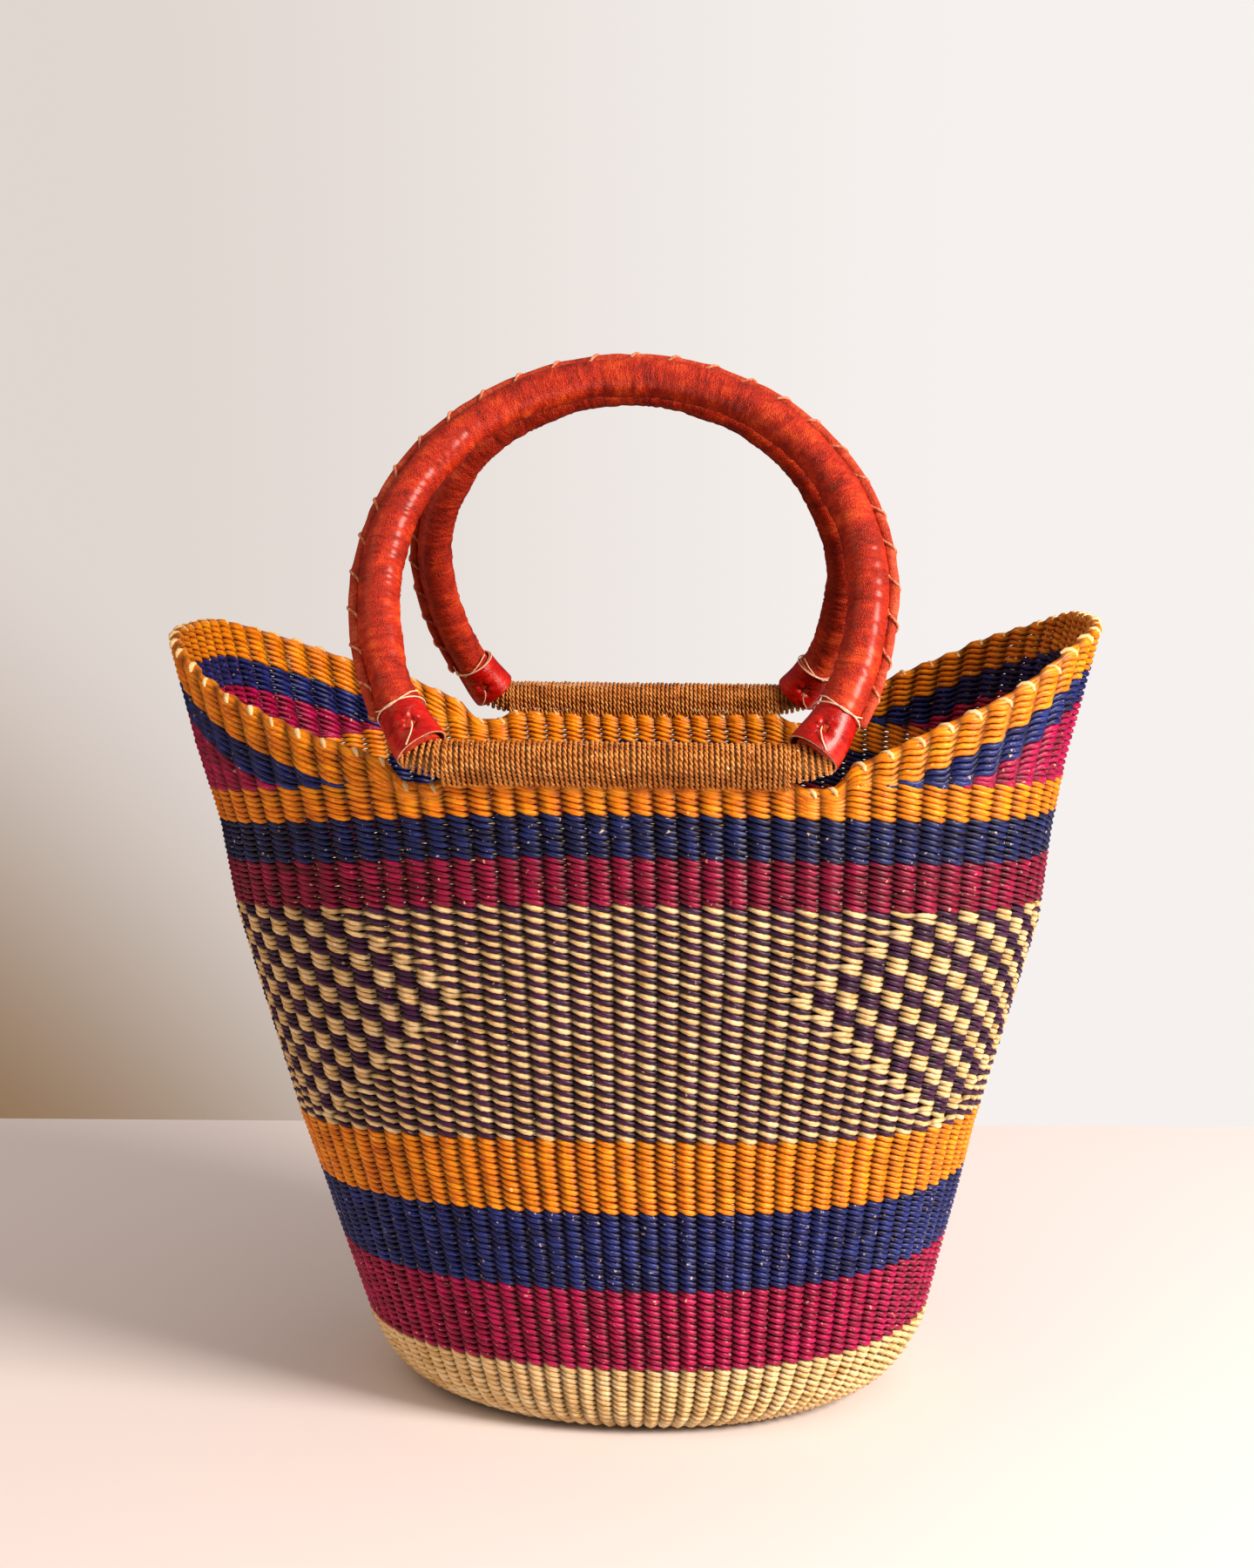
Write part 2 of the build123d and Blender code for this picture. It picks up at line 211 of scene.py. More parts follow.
hoopLeather = leatherMaterial("redGoatLeather", "6A0A00", "B82604", "EC5A1C", 0.42, 0.3, 1.0)
capLeather = leatherMaterial("polishedGoatLeather", "700200", "AE0C04", "CC2410", 0.24, 0.35, 0.35)
weltLeather = leatherMaterial("foldedLeatherSeam", "801C0C", "B83C1E", "DA7850", 0.5, 0.0, 0.6)


def plainFibreMaterial(name, dark, light, roughness, grainScale):
    # Small trim: one pale fibre or wood, streaked at its own grain, dull
    material, tree, shader = newMaterial(name, roughness, specular=0.3)
    coords = addNode(tree, "ShaderNodeTexCoord")
    streaks = addNode(tree, "ShaderNodeTexNoise", {"Scale": grainScale, "Detail": 3.0},
                      {"Vector": coords.outputs["Object"]})
    ramp = addNode(tree, "ShaderNodeValToRGB", {}, {"Fac": streaks.outputs["Fac"]})
    fillRamp(ramp, [(0.35, linear(dark)), (0.65, linear(light))])
    finishSurface(tree, shader, ramp.outputs["Color"], streaks.outputs["Fac"], 0.3, 0.2)
    return material


thongMaterial = plainFibreMaterial("tanLeatherThong", "A04426", "E09470", 0.6, 900.0)
threadMaterial = plainFibreMaterial("waxedThread", "D0A080", "F4DCC0", 0.45, 1500.0)
stickMaterial = plainFibreMaterial("peeledStick", "8A6638", "C39A62", 0.6, 260.0)
caneMaterial = plainFibreMaterial("splitCane", "A8854A", "D9BC84", 0.6, 400.0)   # hidden in the leather
edgeMaterial = plainFibreMaterial("cutLeatherEdge", "B5714A", "E0B08A", 0.7, 900.0)
print("materials made")

# the wall: the middle surface of the weave, as a table over height and way round
wallShape = {
    # outer rings: height, half length, half depth, squareness
    "rings": [(0, 105, 86, 2.1), (7, 123.5, 96, 2.15), (18, 134, 99.8, 2.2), (36, 143, 102.5, 2.25),
              (140, 170.5, 116, 2.5), (245, 198.4, 130.5, 2.75), (290, 203.8, 136.5, 2.85),
              (390, 226.5, 149, 3.0)],
    # the hand-woven tub stands a little askew: how far each height is shifted to the right
    "askew": [(0, 9.0), (36, 9.5), (73, 7.5), (110, 6.0), (140, 4.2), (245, 3.6), (290, 2.2),
              (325, 0.0), (390, 0.0)],
    "thickness": 7.0,
    "baseReach": 85,        # how far the base courses run in from the foot
    "endOpening": 0.19,     # how much more the stakes spread at the ends than the middle of the rim
    "openingFade": (30, 330),   # the heights over which that comes in
    "ease": 9,              # rounding between rings
    "stakes": 96,
    "columns": 8,           # table columns for each stake
    "outline": 1441,        # points that each ring is measured with
}


def tabulateWall(shape):
    rings = np.array(shape["rings"], float)
    pad = shape["ease"]
    levels = np.arange(-shape["baseReach"] - pad, rings[-1, 0] + pad + 1, 1.0)
    below = np.minimum(levels, 0)
    size = [np.interp(levels, rings[:, 0], rings[:, k]) for k in (1, 2, 3)]
    rise = np.maximum(levels, 0)
    growth = rings[-1] - rings[-2]
    over = np.maximum(levels - rings[-1, 0], 0) / growth[0]
    size[0] += below + over * growth[1]
    size[1] += below + over * growth[2]
    size[1] = np.maximum(size[1], 1.0)
    window = np.ones(pad) / pad
    smooth = [np.convolve(v, window, "same") for v in (*size, rise)]
    keep = slice(pad, -pad)
    levels, (a, b, n, z) = levels[keep], [v[keep][:, None] for v in smooth]
    turn = np.linspace(-math.pi / 2, 1.5 * math.pi, shape["outline"])[None, :]
    c, s = np.cos(turn), np.sin(turn)
    r = (np.abs(c) ** n + np.abs(s) ** n) ** (-1 / n)
    x, y = a * r * c, b * r * s
    run = np.hypot(np.diff(x, axis=1), np.diff(y, axis=1)).cumsum(axis=1)
    run = np.concatenate([np.zeros((len(levels), 1)), run], axis=1)
    run /= run[:, -1:]
    way = np.linspace(0, 1, shape["stakes"] * shape["columns"] + 1)
    opening = -shape["endOpening"] * np.interp(levels, shape["openingFade"], (0, 1))
    points = np.empty((len(levels), len(way), 3))
    for i in range(len(levels)):
        spread = way + opening[i] * np.sin(4 * math.pi * way) / (4 * math.pi)
        points[i, :, 0] = np.interp(spread, run[i], x[i]) + np.interp(z[i, 0], *np.array(shape["askew"]).T)
        points[i, :, 1] = np.interp(spread, run[i], y[i])
        points[i, :, 2] = z[i, 0]
    joined = np.concatenate([points[:, -2:-1], points, points[:, 1:2]], axis=1)
    out = np.cross(joined[:, 2:] - joined[:, :-2], np.gradient(points, axis=0))
    out /= np.linalg.norm(out, axis=2, keepdims=True)
    middle = points - out * shape["thickness"] / 2
    return {"first": levels[0], "middle": middle, "out": out, "columns": len(way) - 1,
            "halfLength": a[:, 0], "levels": levels}


wallTable = tabulateWall(wallShape)
stakeCount = wallShape["stakes"]


def onWall(way, level, depth):
    # Points at a way round (0 front, 0.25 right end), a level up the wall and a depth out of its middle
    way = np.mod(way, 1.0) * wallTable["columns"]
    row = np.clip(level - wallTable["first"], 0, len(wallTable["levels"]) - 1.001)
    c0, r0 = np.floor(way).astype(int), np.floor(row).astype(int)
    u, v = (way - c0)[..., None], (row - r0)[..., None]

    def blend(grid):
        low = grid[r0, c0] * (1 - u) + grid[r0, c0 + 1] * u
        high = grid[r0 + 1, c0] * (1 - u) + grid[r0 + 1, c0 + 1] * u
        return low * (1 - v) + high * v

    return (blend(wallTable["middle"]) + blend(wallTable["out"]) * depth[..., None]) * mm


def profileRun(column):
    # Distance up the wall from the middle of the base, at one way round
    steps = np.diff(wallTable["middle"][:, column], axis=0)
    return np.concatenate([[0], np.linalg.norm(steps, axis=1).cumsum()])


frontRun = profileRun(0)
endRun = profileRun(wallTable["columns"] // 4)
levelList = wallTable["levels"]


# the height whose outline says how far round towards an end a stake stands, and the courses'
# lift at each end: nothing at the foot, and at the left nothing again high on the wall
courseShape = {
    "outlineAt": 340, "liftRight": 10.0, "liftLeft": 4.0, "leftFade": (250, 300), "footFade": (-1, 32),
    "underRim": 2.6,        # how far below the rim line the highest course lies
    "crowded": 1.5,         # the closest that courses are beaten together
    "footSwell": 0.35,      # how much fuller the foot's strands are at both ends
}


def endPlace(way):
    # 0 in the middle of the front and back, 1 at the right end, -1 at the left
    column = np.mod(way, 1.0) * wallTable["columns"]
    line = wallTable["middle"][courseShape["outlineAt"] - int(wallTable["first"]), :, 0]
    return np.interp(column, np.arange(wallTable["columns"] + 1), line) / line.max()


def courseLevel(way, front, end):
    place = endPlace(way)
    left = courseShape["liftLeft"] * (1 - np.interp(end, courseShape["leftFade"], (0, 1)))
    lift = np.where(place > 0, courseShape["liftRight"], left)
    lift = lift * np.interp(end, courseShape["footFade"], (0, 1))
    return front - (front - end - lift) * place ** 2


# the rim line: low under the bars, easing up to the tips of the wings
rimShape = {
    "barLevel": 321.5, "barHalf": 73.0, "barEase": 4.0,     # under the lashing
    "capLevel": 316.8, "capHalf": 96.5,                     # clear of the swinging caps
    "rootLevel": 328.5, "rootHalf": 107.0,
    "firstGuess": 345.0,    # any height on the rim
    # each quarter rises its own way: distance from the middle, and height
    "frontRight": [(128, 338), (146, 346), (167, 354.5), (187, 365.5), (207, 379.5), (222, 386.5)],
    "frontLeft": [(136, 336.5), (153, 342.5), (169, 348.5), (183, 354), (194, 361), (205, 368), (221, 378.5)],
    "rearLeft": [(130, 339.5), (165, 351.5), (192, 363), (211, 372), (221, 378.5)],
    "rearRight": [(139, 345), (153, 351.5), (167, 357.5), (182, 366), (207, 376.5), (217, 382.5),
                  (222, 386.5)],
}


def easeStep(x, low, high):
    t = np.clip((x - low) / (high - low), 0, 1)
    return t * t * (3 - 2 * t)


def rimLevel(way):
    way = np.mod(way, 1.0)
    place = endPlace(way)
    rear = (way > 0.25) & (way < 0.75)
    r = rimShape
    level = np.full(np.shape(way), r["firstGuess"])
    # the wall is wider higher up, so a rim point's height and its distance from the middle settle together
    for _ in range(6):
        reach = np.interp(level, levelList, wallTable["halfLength"]) - wallShape["thickness"] / 2
        x = np.abs(place) * reach
        dip = easeStep(x, r["barHalf"], r["barHalf"] + r["barEase"])
        level = r["barLevel"] + (r["capLevel"] - r["barLevel"]) * dip
        level = level + (r["rootLevel"] - r["capLevel"]) * easeStep(x, r["capHalf"], r["rootHalf"])
        for name, here in (("frontRight", ~rear & (place >= 0)), ("frontLeft", ~rear & (place < 0)),
                           ("rearLeft", rear & (place < 0)), ("rearRight", rear & (place >= 0))):
            line = np.array([(r["rootHalf"], r["rootLevel"])] + r[name])
            level = np.where(here & (x > r["rootHalf"]), np.interp(x, *line.T), level)
    return level


# twining: two strands that change sides between one stake and the next
strandShape = {
    "radius": 1.52, "swing": 2.0,       # mm; together half the wall's thickness
    "cross": 1.25,                      # how far a strand rises or falls where two cross
    "neck": 0.68,                       # how thin it is pressed there
    "perStake": 4,
    "uneven": 0.07, "wobble": 0.16,     # hand-spun: girth as a share, and height in mm
    "stackShade": 0.6,                  # how much darker the painted shade makes it where it lies on its neighbours
    "plainPaintedShade": 0.85,              # painted shade, an even darkening, for cords that lie in the open
}


def markPoints(mesh, name, values):
    wide = np.ndim(values) > 1
    mark = mesh.attributes.new(name, "FLOAT_VECTOR" if wide else "FLOAT", "POINT")
    mark.data.foreach_set("vector" if wide else "value", np.asarray(values, np.float32).ravel())


def readPoints(mesh):
    flat = np.empty(len(mesh.vertices) * 3)
    mesh.vertices.foreach_get("co", flat)
    return flat.reshape(-1, 3)


def fillHoles(bm):
    bmesh.ops.holes_fill(bm, edges=[e for e in bm.edges if e.is_boundary], sides=0)


def shadeCrevices(mesh, paths, paintedShade, radius, stacked):
    # Painted shade: 1 on the crown of a strand, falling to 0 where it dives between stakes or lies on its
    # neighbours
    centres = np.concatenate(paths)
    sides = len(mesh.vertices) // len(centres)
    shade = np.repeat(np.concatenate(paintedShade), sides)
    if stacked:
        rise = np.abs(readPoints(mesh)[:, 2] - np.repeat(centres[:, 2], sides)) / (radius * mm)
        shade = shade * (1 - strandShape["stackShade"] * np.clip(rise, 0, 1) ** 2)
    markPoints(mesh, "paintedShade", shade)


def tubeObject(name, paths, material, radius, radii=None, paintedShade=None, stacked=False, cyclic=False,
               sides=1):
    # Tubes along lists of points, as one mesh piece; a shaded open one gets its end caps last,
    # because a curve's own caps would upset the order of its points
    curve = bpy.data.curves.new(name + "Line", "CURVE")
    curve.dimensions = "3D"
    curve.bevel_depth = radius * mm
    curve.bevel_resolution = sides
    curve.use_fill_caps = not cyclic and paintedShade is None
    for k, path in enumerate(paths):
        spline = curve.splines.new("POLY")
        spline.points.add(len(path) - 1)
        spline.use_cyclic_u = cyclic
        four = np.ones((len(path), 4), np.float32)
        four[:, :3] = path
        spline.points.foreach_set("co", four.ravel())
        if radii is not None:
            spline.points.foreach_set("radius", np.asarray(radii[k], np.float32))
    holder = placeObject(name + "Line", curve)
    bpy.context.view_layer.update()
    mesh = bpy.data.meshes.new_from_object(holder.evaluated_get(bpy.context.evaluated_depsgraph_get()))
    bpy.data.objects.remove(holder)
    bpy.data.curves.remove(curve)
    mesh.name = name
    mesh.materials.clear()
    mesh.materials.append(material)
    mesh.shade_smooth()
    if paintedShade is not None:
        shadeCrevices(mesh, paths, paintedShade, radius, stacked)
        bm = bmesh.new()
        bm.from_mesh(mesh)
        fillHoles(bm)
        bm.to_mesh(mesh)
        bm.free()
    else:
        markPoints(mesh, "paintedShade", np.full(len(mesh.vertices), strandShape["plainPaintedShade"]))
    return placeObject(name, mesh)


def strandPath(outside, levels, stakes, thick, closed=True, count=stakeCount):
    # outside: +1 or -1 at each stake; levels: height of the course there; thick: share of the full girth
    per = strandShape["perStake"]
    steps = len(stakes) if closed else len(stakes) - 1
    part = np.arange(per) / per
    here, ahead = outside[:steps, None], np.roll(outside, -1)[:steps, None]
    lowHere, lowAhead = levels[:steps, None], np.roll(levels, -1)[:steps, None]
    side = (here + ahead) / 2 + (here - ahead) / 2 * np.cos(math.pi * part)
    side = np.sign(side) * np.abs(side) ** 0.9
    climb = part * part * (3 - 2 * part)
    level = lowHere + (lowAhead - lowHere) * climb
    level = level - strandShape["cross"] * (here - ahead) / 2 * np.sin(math.pi * part)
    way = (stakes[:steps, None] + part) / count
    girth = strandShape["neck"] + (1 - strandShape["neck"]) * np.abs(np.cos(math.pi * part))
    girth = girth * thick[:steps, None]
    flat = [v.ravel() for v in (way, level, side * strandShape["swing"], girth)]
    return onWall(flat[0], flat[1], flat[2]), flat[3]


def unevenly(count, most):
    return np.array([random.uniform(-most, most) for _ in range(count)])


def handStrand(outside, levels, stakes, wobble=strandShape["wobble"], swell=0.0, closed=True,
               count=stakeCount):
    # swell: how much thicker the strands are beaten at the ends, where the courses spread
    shaky = levels + unevenly(len(stakes), wobble)
    thick = 1 + unevenly(len(stakes), strandShape["uneven"])
    thick = thick * (1 + swell * endPlace(stakes / count) ** 2)
    return strandPath(outside, shaky, stakes, thick, closed, count)


def twinedRow(levels, stakes, **twining):
    # Both strands of a row; levels gives its height at each stake
    return [handStrand(start * (-1.0) ** stakes, levels, stakes, **twining) for start in (1, -1)]


def weavePiece(name, node, colour, strands, radius=strandShape["radius"], cyclic=True, stacked=True):
    paths, girths = zip(*strands)
    # a strand is thinnest where it dives between two stakes, and is painted darkest there as shade
    neck = strandShape["neck"]
    paintedShade = [np.clip((girth - neck) / (1 - neck), 0, 1) for girth in girths]
    piece = tubeObject(name, paths, grass[colour], radius, cyclic=cyclic, radii=girths, paintedShade=paintedShade,
                       stacked=stacked)
    finishPiece(piece, "basket", node)


footEdge = (-1.0, -1.0)
bands = [
    # node, colour, rows, upper edge (front, end); each starts where the one below ends
    ("foot_band", "natural", 14, (36.0, 32.0)),
    ("lower_magenta_band", "magenta", 13, (77.0, 73.0)),
    ("lower_navy_band", "navy", 13, (116.0, 108.5)),
    ("lower_orange_band", "orange", 12, (152.0, 139.0)),
    ("patterned_band", None, 41, (265.0, 245.0)),
    ("upper_magenta_band", "deepMagenta", 8, (287.0, 268.0)),
    ("upper_navy_band", "deepNavy", 7, (306.5, 288.5)),
    ("upper_orange_band", "orange", 6, (323.0, 304.5)),
]


def rowsBetween(rows, low, high):
    # Evenly spaced up the wall, at each stake, between two course edges
    way = np.arange(stakeCount) / stakeCount
    share = (np.arange(rows) + 0.5) / rows
    edges = []
    for k, run in enumerate((frontRun, endRun)):
        first, last = np.interp(low[k], levelList, run), np.interp(high[k], levelList, run)
        edges.append(np.interp(first + (last - first) * share, run, levelList))
    return [courseLevel(way, front, end) for front, end in zip(*edges)]


def finishPiece(piece, body, node):
    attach(piece, body)
    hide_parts(node)


# The patterned band: lines that fall one course per stake, and diamonds of blocks three courses high
patternShape = {"diamonds": 3, "middle": 16.0, "widestRow": 25, "halfWidth": 8.3, "rowsPerStep": 3,
                "wobble": 0.14}


def naturalOutside(row, stakes):
    p = patternShape
    period = stakeCount / p["diamonds"]
    off = np.abs((stakes - p["middle"] + period / 2) % period - period / 2)
    half = p["halfWidth"] - abs(row - p["widestRow"]) / p["rowsPerStep"]
    lines = (row + stakes) % 2 == 0
    blocks = (row // p["rowsPerStep"] + stakes) % 2 == 0
    return np.where(np.where(off <= half, blocks, lines), 1.0, -1.0)


def buildBands():
    random.seed(11)
    stakes = np.arange(stakeCount)
    low = footEdge
    for node, colour, rows, high in bands:
        levels = rowsBetween(rows, low, high)
        low = high
        if node == "upper_orange_band":
            # the upper courses crowd together where the bar pulls the rim down
            rim = rimLevel(stakes / stakeCount) - courseShape["underRim"]
            levels = [np.minimum(level, rim - courseShape["crowded"] * (rows - 1 - row))
                      for row, level in enumerate(levels)]
        if colour:
            swell = courseShape["footSwell"] if node == "foot_band" else 0.0
            strands = [strand for level in levels for strand in twinedRow(level, stakes, swell=swell)]
            weavePiece(f"{node}_weave", node, colour, strands)
            continue
        for colour, sign in (("natural", 1), ("purple", -1)):
            strands = [handStrand(sign * naturalOutside(row, stakes), level, stakes, patternShape["wobble"])
                       for row, level in enumerate(levels)]
            weavePiece(f"{node}_{colour}", node, colour, strands)


buildBands()
print("bands woven")

# base: the same twining in flat rings, with fewer stakes towards the middle
baseCourses = {"pitch": 3.0, "zones": [(-1.0, -26, 96), (-26, -56, 48), (-56, -85, 24)]}


def buildBase():
    random.seed(12)
    strands = []
    for start, stop, count in baseCourses["zones"]:
        for level in np.arange(start - baseCourses["pitch"] / 2, stop, -baseCourses["pitch"]):
            strands += twinedRow(np.full(count, level), np.arange(count), count=count)
    weavePiece("base_weave", "base", "natural", strands, stacked=False)


buildBase()

# wings: courses that follow the rim and run out on the level band below
wingCourses = {
    "pitch": 3.0, "first": 0.6,             # the first course lies this share of a pitch lower
    "orange": 5, "navy": 5, "magenta": 20,
    "seat": 0.9, "overlap": 2.1,            # how a course lies on the level band where it runs out
    "tuck": 0.6,                            # how far its ends drop behind the course below
    "fewest": 4,                            # stakes that a course has to cross to be woven at all
}


def buildWings():
    random.seed(13)
    names = [("orange", "rim_band"), ("navy", "wing_navy"), ("magenta", "wing_magenta")]
    for side, middle in (("right", 0.25), ("left", 0.75)):
        stakes = np.arange(int((middle - 0.25) * stakeCount), int((middle + 0.25) * stakeCount) + 1)
        way = stakes / stakeCount
        rim = rimLevel(way) - courseShape["underRim"]
        floor = courseLevel(way, *bands[-1][3])
        row = 0
        for colour, node in names:
            strands = []
            for _ in range(wingCourses[colour]):
                level = rim - (row + wingCourses["first"]) * wingCourses["pitch"]
                row += 1
                # a course runs down on to the level band and ends there
                use = level > floor - wingCourses["overlap"]
                if use.sum() < wingCourses["fewest"]:
                    continue
                # one stake more at both ends, so that no gap is left under the course above
                use[1:-1] |= use[2:] | use[:-2]
                levels = np.minimum(np.maximum(level, floor + wingCourses["seat"]), rim)[use]
                levels[[0, -1]] -= wingCourses["tuck"]
                strands += twinedRow(levels, stakes[use], closed=False)
            weavePiece(f"{side}_{node}_weave", f"{side}_{node}", colour, strands, cyclic=False)


buildWings()

# stakes up the middle of the wall, and the border where their ends are folded in
stakeLook = {"radius": 1.25, "step": 9.0, "foot": -20, "belowRim": 1.0}
borderLook = {
    "cord": 1.65, "courses": ((1.6, 1.0), (0.1, 0.45)),     # drop below the rim, share of the full swing
    # a stake's end is folded over the cords: across the wall, up, round it (in stakes), and its girth
    "nub": 1.55, "fold": [(-2.25, -1.5, -0.22, 0.55), (-1.0, 0.3, -0.1, 0.95), (0.75, 0.9, 0.03, 1.0),
                          (2.25, 0.1, 0.14, 0.9), (3.0, -1.7, 0.2, 0.45)],
}


def buildStakes():
    paths = []
    for i in range(stakeCount):
        way = i / stakeCount
        top = float(rimLevel(np.array([way]))[0]) - stakeLook["belowRim"]
        levels = np.linspace(stakeLook["foot"], top, int((top - stakeLook["foot"]) / stakeLook["step"]))
        paths.append(onWall(np.full(len(levels), way), levels, np.zeros(len(levels))))
    piece = tubeObject("stakes_stems", paths, grass["natural"], stakeLook["radius"])
    finishPiece(piece, "basket", "stakes")


def buildBorder():
    random.seed(14)
    stakes = np.arange(stakeCount)
    rim = rimLevel(stakes / stakeCount)
    cords = [strandPath(start * swing * (-1.0) ** stakes, rim - drop, stakes,
                        1 + unevenly(stakeCount, strandShape["uneven"]))
             for drop, swing in borderLook["courses"] for start in (1, -1)]
    weavePiece("rim_border_cords", "rim_border", "orange", cords, borderLook["cord"])
    nubs, thick = [], []
    across, rise, turn, girth = np.array(borderLook["fold"]).T
    for i in stakes:
        way = (i + random.uniform(-0.15, 0.15) + turn) / stakeCount
        nubs.append(onWall(way, rim[i] + random.uniform(-0.2, 0.5) + rise, across))
        thick.append(girth * random.uniform(0.75, 1.1))
    piece = tubeObject("rim_border_nubs", nubs, grass["natural"], borderLook["nub"], radii=thick)
    finishPiece(piece, "basket", "rim_border")


buildStakes()
buildBorder()
print("base, wings, stakes and border woven")

# handles
hoopShape = {
    "hoopRadius": 110.0, "legRadius": 144.0, "legTurn": math.radians(34.0), "endHeight": 4.5,
    "lean": math.radians(30.0), "tube": 9.75, "core": 7.6, "cap": 10.9, "capLength": 21.0,
    # the rear hoop was bent a little flatter, and leans to the left
    "sway": {"front": (0.0, 0.0), "rear": (-4.0, -2.0)}, "swayEase": (24, 150),
}
centreHeight = hoopShape["endHeight"] + hoopShape["legRadius"] * math.sin(hoopShape["legTurn"])
legCentre = hoopShape["hoopRadius"] - hoopShape["legRadius"]
legRun = hoopShape["legRadius"] * hoopShape["legTurn"]
hoopRun = 2 * legRun + math.pi * hoopShape["hoopRadius"]


def barAxis(name):
    lo, hi = (np.array(corner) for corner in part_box(f"{name}_bar"))
    return (lo + hi) / 2 / mm


def handleMatrix(name, side):
    # Hoop plane: x along the bar, y up the hoop, z out of its outer face
    centre = barAxis(name)
    lean = hoopShape["lean"]
    up = Vector((0, -side * math.sin(lean), math.cos(lean)))
    face = Vector((1, 0, 0)).cross(up)
    spin = Matrix((Vector((1, 0, 0)), up, face)).transposed().to_4x4()
    return Matrix.Translation(Vector((0, centre[1], centre[2])) * mm) @ spin


def straighten(flat):
    # Hoop plane coordinates (mm) to distance along from the right end, outwards and sideways
    x, y, z = flat.T
    up = y - centreHeight
    across = np.where(up >= 0, x, np.abs(x) - legCentre)
    radius = np.where(up >= 0, hoopShape["hoopRadius"], hoopShape["legRadius"])
    along = legRun + radius * np.arctan2(up, across)
    along = np.where((up < 0) & (x <= 0), hoopRun - along, along)
    return np.stack([along, np.hypot(up, across) - radius, z], 1)


def bendBack(place, sway=(0.0, 0.0)):
    # sway shifts the top of a hand-bent hoop, easing out down both legs
    along, outward, z = place.T
    near = np.minimum(along, hoopRun - along)
    leg = near < legRun
    radius = np.where(leg, hoopShape["legRadius"], hoopShape["hoopRadius"])
    ang = (np.where(leg, near, along) - legRun) / radius
    x = np.cos(ang) * (radius + outward) + np.where(leg, legCentre, 0)
    x = np.where(leg & (along > legRun), -x, x)
    y = np.sin(ang) * (radius + outward) + centreHeight
    share = easeStep(near, *hoopShape["swayEase"])
    return np.stack([x + sway[0] * share, y + sway[1] * share, z], 1)


def standUp(matrix, place, sway=(0.0, 0.0)):
    # Straightened places (mm) to points on the standing handle
    turn = np.array(matrix)
    return bendBack(place, sway) * mm @ turn[:3, :3].T + turn[:3, 3]


def spunTube(radii, centreOut, sides, spacing, start=0.0, stop=hoopRun):
    # A ring at the right end, spun up the leg, over the hoop and down the other leg (mm, hoop plane)
    bm = bmesh.new()
    ring = bmesh.ops.create_circle(bm, segments=sides, radius=1.0)["verts"]
    s = hoopShape
    ang = -s["legTurn"] + start / s["legRadius"]
    radial, side = Vector((math.cos(ang), math.sin(ang), 0)), Vector((0, 0, 1))
    centre = Vector((legCentre, centreHeight, 0)) + radial * (s["legRadius"] + centreOut)
    for vert in ring:
        vert.co = centre + radial * vert.co.x * radii[0] + side * vert.co.y * radii[1]
    geom = ring + list({edge for vert in ring for edge in vert.link_edges})
    turns = [(legCentre, min(stop, legRun) - start, s["legRadius"])]
    if stop > legRun:
        turns.append((0.0, math.pi * s["hoopRadius"], s["hoopRadius"]))
        turns.append((-legCentre, stop - legRun - math.pi * s["hoopRadius"], s["legRadius"]))
    for cx, run, radius in turns:
        made = bmesh.ops.spin(bm, geom=geom, cent=(cx, centreHeight, 0), axis=(0, 0, 1), angle=run / radius,
                              steps=max(2, int(run / spacing)), use_merge=False, use_duplicate=False)
        geom = made["geom_last"]
    bmesh.ops.remove_doubles(bm, verts=bm.verts, dist=0.001)
    return bm


def closeTube(bm):
    fillHoles(bm)
    bmesh.ops.recalc_face_normals(bm, faces=bm.faces)


def smoothNoise(count, step, seed):
    # A soft random value, from -1 to 1, for any place up to count; it changes over about a step
    knots = np.random.default_rng(seed).uniform(-1, 1, int(count / step) + 3)
    at = np.arange(int(count) + 2)
    low = np.floor(at / step).astype(int)
    t = easeStep(at / step - low, 0, 1)
    values = knots[low] * (1 - t) + knots[low + 1] * t
    return lambda where: np.interp(where, at, values)


def meshFrom(bm, name, material):
    mesh = bpy.data.meshes.new(name)
    bm.to_mesh(mesh)
    bm.free()
    mesh.materials.append(material)
    return mesh


def shapeTube(bm, name, material, matrix, change=None, pit=None, sway=(0.0, 0.0)):
    # Lets a function move the straightened points, stores that place, and stands the piece on its handle
    mesh = meshFrom(bm, name, material)
    place = straighten(readPoints(mesh))
    moved = change(place) if change else place
    mesh.vertices.foreach_set("co", standUp(matrix, moved, sway).astype(np.float32).ravel())
    markPoints(mesh, "tubePlace", place * mm)
    if pit:
        markPoints(mesh, "pitShade", pit(place))
    mesh.shade_smooth()
    mesh.update()
    return placeObject(name, mesh)


def finishOnHandle(piece, name, part):
    finishPiece(piece, f"{name}_handle", f"{name}_{part}")


leatherLook = {"sides": 44, "spacing": 1.0, "lump": 0.6, "crease": 0.8, "slim": 0.08, "slimEase": (90, 200)}
coreLook = {"sides": 16, "spacing": 4.0}


def slimming(along):
    # how much the tube thins towards the top of the hoop, as a share of its radius
    return leatherLook["slim"] * easeStep(np.minimum(along, hoopRun - along), *leatherLook["slimEase"])


